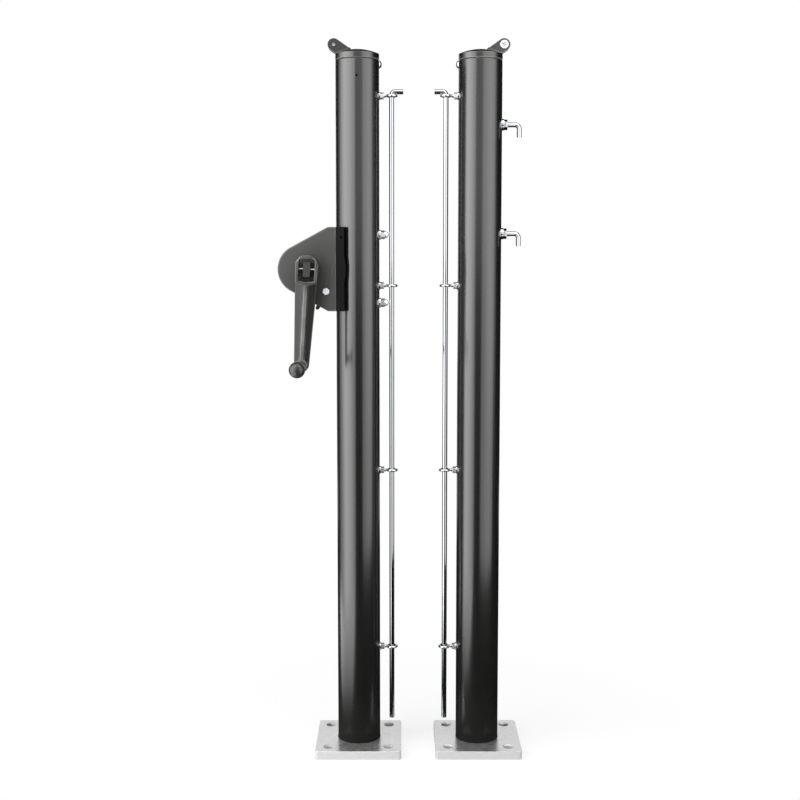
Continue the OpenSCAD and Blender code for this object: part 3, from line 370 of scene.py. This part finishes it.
def painted_rib_highlight(tree, paint, patchy, place, rib_highlight):
    """Painted highlight: what stands furthest out on the front, the crank arm's rib, is painted a lighter
    grey, weaker towards the head.
    """
    at = axes(tree, place)
    standing_out = remap(tree, at["Y"], rib_highlight["start_mm"] * MM, rib_highlight["full_mm"] * MM)
    lower = remap(tree, at["Z"], rib_highlight["arm_mm"] * MM, rib_highlight["head_mm"] * MM, 1.0, rib_highlight["at_head"])
    rib_light = math_of(tree, "MULTIPLY", math_of(tree, "MULTIPLY", standing_out, patchy), lower)
    return mixed(tree, rib_light, paint, linear(rib_highlight["colour"]))


def grained(tree, place, peel, peel_mm, lines):
    """A fine bump, with the cutter's straight lines where given, 40 mm long and 0.4 mm apart."""
    grain = noise(tree, place, 1 / (peel_mm * MM), 2.0)
    bump = add(tree, "ShaderNodeBump", {"Strength": peel, "Distance": 0.05 * MM, "Height": grain})
    if lines:
        drawn = add(tree, "ShaderNodeVectorMath",
                    {0: place, 1: (1 / (40 * MM), 1 / (0.4 * MM), 1 / (0.4 * MM))}, operation="MULTIPLY")
        cut = noise(tree, drawn.outputs[0], 1.0, 2.0)
        bump = add(tree, "ShaderNodeBump", {"Strength": lines, "Distance": 0.03 * MM, "Height": cut,
                   "Normal": bump.outputs[0]})
    return bump.outputs[0]


def finish(name, colour, roughness, metallic=0.0, specular=0.5, wobble=0.05, wobble_mm=30.0, peel=0.0,
           peel_mm=1.5, lines=0.0, edge=None, edge_mm=0.5, lacquer=0.0, lacquer_rough=0.2, lacquer_ior=1.5,
           dull_foot=None, sides=None, corners=None, rib_highlight=None):
    """A coated or plated surface: cloudy roughness and colour, a fine bump, and where given a dull foot, sawn
    sides with painted shade, painted shade in corners, paler edges (wear on the plate, a painted highlight on
    the coats) and a painted highlight on the rib.
    """
    material = bpy.data.materials.new(name)
    material.use_nodes = True
    tree = material.node_tree
    shader = tree.nodes["Principled BSDF"].inputs
    shader["Metallic"].default_value = metallic
    shader["Specular IOR Level"].default_value = specular
    shader["Coat Weight"].default_value = lacquer
    shader["Coat Roughness"].default_value = lacquer_rough
    shader["Coat IOR"].default_value = lacquer_ior
    place = add(tree, "ShaderNodeTexCoord").outputs["Object"]
    cloud = noise(tree, place, 1 / (wobble_mm * MM), 4.0)
    rough = remap(tree, cloud, 0.3, 0.7, roughness - wobble, roughness + wobble)
    base = linear(colour)
    deep = [c * (1 - CLOUD_DEPTH) for c in base[:3]] + [1]
    paint = mixed(tree, cloud, deep, base)
    if dull_foot:
        # scuffed and dusty at its foot, so its gloss fades between these two heights
        gloss = remap(tree, axes(tree, place)["Z"], *dull_foot, to_high=lacquer)
        tree.links.new(gloss, shader["Coat Weight"])
        rough = remap(tree, gloss, 0.0, lacquer, SCUFFED, rough)
    # the sides are rougher and less metal, and their colour is painted darker as shade
    if sides:
        rough, metal, paint = sawn_sides_with_painted_shade(tree, rough, metallic, paint, sides)
        tree.links.new(metal, shader["Metallic"])
    # painted shade: darker in corners and recesses
    if corners:
        paint = painted_corner_shade(tree, paint, corners)
    if edge or rib_highlight:
        patchy = remap(tree, cloud, 0.35, 0.6, 0.55, 1.0)
    # paler edges: a painted highlight on the coats, wear on the plate
    if edge:
        paint = worn_and_highlit_edges(tree, paint, patchy, edge, edge_mm)
    # painted highlight: a lighter grey line down the crank arm's rib
    if rib_highlight:
        paint = painted_rib_highlight(tree, paint, patchy, place, rib_highlight)
    tree.links.new(rough, shader["Roughness"])
    tree.links.new(paint, shader["Base Color"])
    if peel:
        tree.links.new(grained(tree, place, peel, peel_mm, lines), shader["Normal"])
    return material


# ---------------------------------------------------------------- pieces from the solids
def edge_width(edge, width, rules):
    """The rounding of an edge: the first rule whose box holds both its ends, or the piece's own width."""
    for low, high, value in rules:
        if all(low[k] <= v.co[k] / MM <= high[k] for v in edge.verts for k in range(3)):
            return value
    return width


def dressed(node, material, slot, width, rules=()):
    """The solid's own shape, merged, with its edges rounded to this width in millimetres."""
    source = frame["nodes"][node]
    mesh = source.data.copy()
    mesh.name = node + "_finished"
    shape = bmesh.new()
    shape.from_mesh(mesh)
    # soft rims are wider than the smallest steps in a rounded outline, so those steps are merged first
    bmesh.ops.remove_doubles(shape, verts=shape.verts, dist=MERGE_SOFT if rules else MERGE_PLAIN)
    widest = max([width] + [rule[2] for rule in rules])
    if widest:
        if not rules:
            bmesh.ops.dissolve_limit(shape, angle_limit=math.radians(0.4), verts=shape.verts,
                                     edges=shape.edges)
        weight = shape.edges.layers.float.new("bevel_weight_edge")
    for edge in shape.edges:
        hard = len(edge.link_faces) == 2 and edge.calc_face_angle() > HARD_EDGE
        rounded = edge_width(edge, width, rules)
        edge.smooth = bool(rounded) or not hard
        if hard and rounded and (edge.is_convex or not rules):
            edge[weight] = rounded / widest
    for face in shape.faces:
        face.smooth = True
    shape.to_mesh(mesh)
    shape.free()
    mesh.materials.clear()
    mesh.materials.append(material)
    piece = placed(node + "_finished", mesh)
    if widest:
        round_over = piece.modifiers.new("rounded edges", "BEVEL")
        round_over.limit_method = "WEIGHT"
        round_over.width = widest * MM
        round_over.segments = ROUND_SEGMENTS
        round_over.miter_outer = "MITER_ARC"
        round_over.use_clamp_overlap = not rules
        level = piece.modifiers.new("flat faces stay flat", "WEIGHTED_NORMAL")
        level.mode = "FACE_AREA"
        level.weight = 50
        level.keep_sharp = width == 0
    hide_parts(node)
    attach(piece, source["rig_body"])


# ---------------------------------------------------------------- threads
def thread_tree():
    """One fine ridge, wound round a shank, set on each point of the mesh that it is given."""
    tree = bpy.data.node_groups.new("thread", "GeometryNodeTree")
    for name, kind in (("Starts", "Geometry"), ("Turns", "Float"), ("Length", "Float"), ("Radius", "Float"),
                       ("Depth", "Float"), ("Facing", "Vector"), ("Finish", "Material")):
        tree.interface.new_socket(name, in_out="INPUT", socket_type="NodeSocket" + kind)
    tree.interface.new_socket("Threads", in_out="OUTPUT", socket_type="NodeSocketGeometry")
    given = tree.nodes.new("NodeGroupInput").outputs
    winding = add(tree, "GeometryNodeCurveSpiral", {"Resolution": 24, "Rotations": given["Turns"],
                  "Start Radius": given["Radius"], "End Radius": given["Radius"], "Height": given["Length"]})
    crest = add(tree, "GeometryNodeCurvePrimitiveCircle", {"Resolution": 3, "Radius": given["Depth"]})
    ridge = add(tree, "GeometryNodeCurveToMesh", {"Curve": winding.outputs[0],
                "Profile Curve": crest.outputs[0], "Fill Caps": True})
    way = add(tree, "FunctionNodeEulerToRotation", {0: given["Facing"]})
    each = add(tree, "GeometryNodeInstanceOnPoints", {"Points": given["Starts"], "Instance": ridge.outputs[0],
               "Rotation": way.outputs[0]})
    plain = add(tree, "GeometryNodeRealizeInstances", {0: each.outputs[0]})
    coated = add(tree, "GeometryNodeSetMaterial", {"Geometry": plain.outputs[0], "Material": given["Finish"]})
    add(tree, "NodeGroupOutput", {0: coated.outputs[0]})
    return tree


def solid_middles(node):
    """The middle of each separate solid in a node, from the lowest up."""
    shape = bmesh.new()
    shape.from_mesh(frame["nodes"][node].data)
    bmesh.ops.remove_doubles(shape, verts=shape.verts, dist=1e-5)
    left = set(shape.verts)
    places = []
    while left:
        reached = [left.pop()]
        spots = []
        while reached:
            vert = reached.pop()
            spots.append(vert.co.copy())
            for edge in vert.link_edges:
                other = edge.other_vert(vert)
                if other in left:
                    left.discard(other)
                    reached.append(other)
        places.append([(min(c[k] for c in spots) + max(c[k] for c in spots)) / 2 for k in range(3)])
    shape.free()
    return sorted(places, key=lambda place: place[2])


def threads(node, nut, facing, diameter, pitch, length):
    """The thread that stands out of each of a node's nuts, its sizes in millimetres."""
    low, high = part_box(nut)
    starts = []
    for place in solid_middles(nut):
        if facing == TO_RIGHT:
            place[0] = high[0] - pitch * MM / 2
        elif facing == TO_LEFT:
            place[0] = low[0] + pitch * MM / 2
        else:
            place[1] = high[1] - pitch * MM / 2
        starts.append(place)
    mesh = bpy.data.meshes.new(node + "_thread_starts")
    mesh.from_pydata(starts, [], [])
    pattern = placed(node + "_thread_starts", mesh)
    wind = pattern.modifiers.new("thread", "NODES")
    wind.node_group = thread_nodes
    depth = RIDGE_SHARE * pitch * MM
    material, slot = LOOKS.get(node, PLAIN_LOOK)[:2]
    values = {"Turns": length / pitch, "Length": length * MM, "Radius": diameter / 2 * MM - SUNK_SHARE * depth,
              "Depth": depth, "Facing": facing, "Finish": material}
    for item in thread_nodes.interface.items_tree:
        if item.in_out == "INPUT" and item.name in values:
            wind[item.identifier] = values[item.name]
    made = bpy.data.meshes.new_from_object(pattern.evaluated_get(bpy.context.evaluated_depsgraph_get()))
    bpy.data.objects.remove(pattern)
    made.name = node + "_threads"
    shape = bmesh.new()
    shape.from_mesh(made)
    bmesh.ops.recalc_face_normals(shape, faces=shape.faces)
    shape.to_mesh(made)
    shape.free()
    piece = placed(node + "_threads", made)
    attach(piece, frame["nodes"][node]["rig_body"])


camera()
stage()

# a deep gloss with a fine orange peel: it draws the soft boxes as long bands down the tubes
DEEP_GLOSS = dict(colour="#121211", roughness=0.3, specular=0.1, wobble=0.03, peel=0.12, peel_mm=2.2,
                  lacquer=1.0, lacquer_rough=0.21, lacquer_ior=1.65)
powder_coat = finish("black powder coat on steel tube", **DEEP_GLOSS, dull_foot=(20 * MM, 90 * MM))
# the same coat, with a painted highlight as grey lines along the ears and the rim, and a dull dark line where
# the cap meets its tube
seam_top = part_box("winch_post_tube")[1][2] + 1.15 * MM
cap_coat = finish("black powder coat on cast cap", **DEEP_GLOSS, edge="#84847f", edge_mm=1.3,
                  dull_foot=(seam_top, seam_top + 0.05 * MM))
# flat and satin, so the housing stands out against the tube, with a painted highlight as a bright line along
# its pressed rim, and painted shade darkening it near the crank, the saddle and the tube
housing_coat = finish("satin baked coating on pressed steel", "#373736", 0.42, peel=0.3, peel_mm=0.9,
                      edge="#b4b4b0", edge_mm=1.8,
                      corners={"reach_mm": 45, "darkest": 0.3, "only_local": False})
# slightly pebbled from the mould, with a painted highlight pale along the head's edges and a painted highlight
# as a grey line down the arm's rib
casting_coat = finish("black coated zinc casting", "#191918", 0.32, specular=0.36, peel=0.4, peel_mm=1.4,
                      edge="#acaca8", edge_mm=1.1, lacquer=0.12, lacquer_rough=0.15,
                      rib_highlight={"start_mm": -55.6, "full_mm": -57.2, "colour": "#666664",
                             "arm_mm": 612, "head_mm": 628, "at_head": 0.35})
# dead black beside the gloss of the tube
saddle_black = finish("matt black moulded saddle", "#060606", 0.6, specular=0.12, peel=0.2)
# small sharp lights on a dark ball
knob_black = finish("polished phenolic ball", "#2a2a29", 0.2, specular=0.4, wobble=0.03)
# pale and cloudy with straight cutter's lines, dull on its sawn sides, whose colour is painted darker as
# shade, bright along its broken edges, and with painted shade darkening its holes and corners
aluminium = finish("milled aluminium plate", "#dcdcdc", 0.3, metallic=0.9, wobble_mm=8, peel=0.2,
                   peel_mm=0.8, lines=0.3, edge="#f2f2f0",
                   sides={"roughness": 0.75, "metallic": 0.4, "shade": 0.82},
                   corners={"reach_mm": 9, "darkest": 0.3, "only_local": True})
# a mirror: light in the middle and dark at its outline
chrome = finish("bright chromium plate", "#c2c4c6", 0.07, metallic=1.0, wobble=0.02)
# drawn rod, plated: a little greyer than the small parts
rod_chrome = finish("chromium plate on drawn rod", "#a9abad", 0.09, metallic=1.0, wobble=0.02)
# small nuts and washers catch more light than they mirror
nickel = finish("barrel plated nickel on nuts", "#e8e9ea", 0.18, metallic=0.75, wobble=0.03)
# the same, with painted shade darkening the socket towards its bottom
socket_nickel = finish("bright nickel on a socket head", "#e4e5e6", 0.14, metallic=0.85, wobble=0.02,
                       corners={"reach_mm": 9, "darkest": 0.0, "only_local": True})
# the winch's inside is bare turned metal, grey and soft
steel = finish("turned steel", "#8f8f8c", 0.3, metallic=1.0)
# darker than the steel around it, as the flat that shows in the crank's head
shaft_steel = finish("oil blackened steel shaft", "#3a3a38", 0.4, metallic=0.6)
# dark and even, with a broad soft sheen
nylon = finish("turned black nylon", "#2b2b2a", 0.45)
# near white and soft, as the bolt's head beside the crank
zinc = finish("bright zinc plate", "#e2e4e8", 0.38, metallic=0.5)

# each node's finish, its slot in the record, and the rounding of its edges in millimetres
PLAIN_LOOK = (chrome, "chrome", 0.2)
LOOKS = {
    "winch_post_tube": (powder_coat, "black_powder_coat", 0),
    "hook_post_tube": (powder_coat, "black_powder_coat", 0),
    "winch_post_lacing_rod": (rod_chrome, "chrome", 0.2),
    "hook_post_lacing_rod": (rod_chrome, "chrome", 0.2),
    "winch_post_eye_nuts": (nickel, "chrome", 0.2),
    "hook_post_eye_nuts": (nickel, "chrome", 0.2),
    "winch_acorn_nuts": (nickel, "chrome", 0.2),
    "winch_mount_washers": (nickel, "chrome", 0.2),
    "net_hooks": (rod_chrome, "chrome", 0.2),
    "net_hook_nuts": (rod_chrome, "chrome", 0.3),
    "winch_post_axle": (powder_coat, "black_powder_coat", 0.2),
    "winch_post_plate": (aluminium, "plate_aluminium", 0.7),
    "hook_post_plate": (aluminium, "plate_aluminium", 0.7),
    "winch_post_cap": (cap_coat, "black_powder_coat", 0.35),
    "hook_post_cap": (cap_coat, "black_powder_coat", 0.35),
    "hook_post_axle": (socket_nickel, "chrome", 0.25),
    "winch_post_sheave": (nylon, "sheave_nylon", 0.2),
    "hook_post_sheave": (nylon, "sheave_nylon", 0.2),
    "winch_saddle": (saddle_black, "gloss_black", 0.5),
    "saddle_screw": (saddle_black, "gloss_black", 0.15),
    "winch_housing_front": (housing_coat, "satin_black_housing", 0.7),
    "winch_housing_rear": (housing_coat, "satin_black_housing", 0.7),
    "crank_handle": (casting_coat, "black_casting", 0.7),
    "pawl": (casting_coat, "black_casting", 0.3),
    "crank_grip": (knob_black, "gloss_black", 0.2),
    "drive_shaft": (shaft_steel, "plain_steel", 0.8),
    "ratchet_wheel": (steel, "plain_steel", 0.2),
    "wheel_rivets": (steel, "plain_steel", 0.0),
    "cable_drum": (steel, "plain_steel", 0.3),
    "winch_mount_bolts": (steel, "plain_steel", 0.2),
    "net_hook_inner_nuts": (steel, "plain_steel", 0.2),
    "front_bushing": (nylon, "sheave_nylon", 0.2),
    "rear_bushing": (nylon, "sheave_nylon", 0.2),
    "shaft_washer": (zinc, "zinc_plate", 0.15),
    "shaft_clip": (zinc, "zinc_plate", 0.15),
    "pawl_spacer": (zinc, "zinc_plate", 0.15),
    "pawl_bolt": (zinc, "chrome", 0.25),
    "drum_pin": (zinc, "zinc_plate", 0.2),
    "pawl_spring": (chrome, "chrome", 0.0),
}
# boxes in millimetres whose edges are rounded otherwise: small holes stay crisp, outer rims are soft
EDGE_RULES = {
    "winch_housing_front": [((-79, -32, 632), (-48, -30, 662), 0.3), ((-45, -32, 613), (-36, -30, 623), 0.3),
                            ((-200, -32, 0), (-28, -30.5, 900), 1.8)],
    "winch_housing_rear": [((-79, 30, 632), (-48, 32, 662), 0.3), ((-45, 30, 613), (-36, 32, 623), 0.3),
                           ((-200, 30.5, 0), (-28, 32, 900), 1.8)],
    "crank_handle": [((-75.5, -58, 630.5), (-52, -57, 661.5), 0.9), ((-82, -58, 626), (-46, -57, 680), 1.6),
                     ((-200, -53.6, 0), (0, -52.6, 900), 1.2), ((-200, -55.2, 0), (0, -54.3, 900), 0.4)],
    "winch_post_tube": [((-30, -30, 915.5), (30, 30, 917), 0.8)],
    "hook_post_tube": [((130, -30, 915.5), (190, 30, 917), 0.8)],
}
for node in frame["nodes"]:
    dressed(node, *LOOKS.get(node, PLAIN_LOOK), EDGE_RULES.get(node, ()))

thread_nodes = thread_tree()
# node, its nut, which way the thread runs, the shank's diameter, the pitch and the length beyond the nut
THREADS = [
    ("winch_post_eyes", "winch_post_eye_nuts", TO_RIGHT, 4.8, 0.8, 1.9),
    ("hook_post_eyes", "hook_post_eye_nuts", TO_LEFT, 4.8, 0.8, 1.9),
    ("net_hooks", "net_hook_nuts", TO_RIGHT, 6.38, 1.0, 6.0),
    ("pawl_bolt", "pawl_bolt_nut", TO_REAR, 6.0, 1.0, 1.8),
]
for thread in THREADS:
    threads(*thread)

bpy.context.scene.view_settings.view_transform = "Standard"
